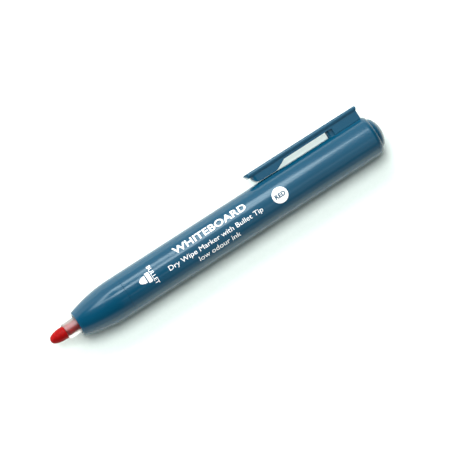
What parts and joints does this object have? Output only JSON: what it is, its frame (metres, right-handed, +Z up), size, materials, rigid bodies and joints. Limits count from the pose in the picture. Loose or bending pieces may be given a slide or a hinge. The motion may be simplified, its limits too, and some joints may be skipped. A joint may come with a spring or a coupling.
{
  "type": "whiteboard marker",
  "caption": "Retractable whiteboard marker with a bullet nib in a clear holder, a curved nose cone with a flap valve, a straight barrel, a side clip and a domed push button.",
  "frame": {"origin": "on the marker's axis, in the plane where the nose cone meets the barrel", "axes": "+X along the axis from the nib towards the push button, +Y from the axis towards the clip, +Z up, square to both, when the marker lies on a table with its clip to the side"},
  "size_m": [0.1491, 0.0212, 0.016],
  "materials": {
    "body_plastic": "glossy moulded blue plastic",
    "nib_fibre": "dense red ink-soaked polyester fibre, cut to a bullet",
    "clear_plastic": "clear moulded plastic",
    "seal_rubber": "smooth black elastomer",
    "housing_plastic": "matt black plastic",
    "spring_steel": "bright drawn steel wire",
    "cartridge_plastic": "milky white plastic",
    "cam_plastic": "natural acetal",
    "filler_fibre": "ink-soaked fibre in a thin film sleeve"
  },
  "bodies": {
    "barrel": {"barrel": "body_plastic", "nose_cone": "body_plastic", "valve_housing": "housing_plastic", "valve_seal": "seal_rubber", "housing_o_ring": "seal_rubber", "holder_wiper": "seal_rubber", "spring_seat": "spring_steel", "cam_guide": "cam_plastic", "return_spring": "spring_steel"},
    "cartridge": {"bullet_nib": "nib_fibre", "nib_holder": "clear_plastic", "reservoir_tube": "cartridge_plastic", "ink_filler": "filler_fibre", "cartridge_plug": "cartridge_plastic", "rotary_cam": "cam_plastic", "plunger": "cam_plastic", "push_button": "body_plastic"},
    "clip": {"clip": "body_plastic"},
    "flap_upper": {"valve_flap_upper": "seal_rubber"},
    "flap_lower": {"valve_flap_lower": "seal_rubber"}
  },
  "joints": [
    {"name": "cartridge_slide", "type": "slide", "parent": "barrel", "child": "cartridge", "axis": [1, 0, 0], "range_m": [-0.0012, 0.0182], "deforming": ["return_spring"]},
    {"name": "clip_flex", "type": "hinge", "parent": "barrel", "child": "clip", "pos_m": [0.1113, 0.0076, 0], "axis": [0, 0, -1], "range_deg": [0, 4], "stiffness_Nm_per_rad": 2},
    {"name": "flap_upper_fold", "type": "hinge", "parent": "barrel", "child": "flap_upper", "pos_m": [-0.0162, 0, 0.00375], "axis": [0, -1, 0], "range_deg": [-6, 90], "deforming": ["valve_flap_upper"]},
    {"name": "flap_lower_fold", "type": "hinge", "parent": "barrel", "child": "flap_lower", "pos_m": [-0.0162, 0, -0.00375], "axis": [0, 1, 0], "range_deg": [-6, 90], "deforming": ["valve_flap_lower"]}
  ],
  "couplings": [
    {"joint": "flap_upper_fold", "follows": "cartridge_slide", "rad_per_m": 86.3},
    {"joint": "flap_lower_fold", "follows": "cartridge_slide", "rad_per_m": 86.3}
  ]
}
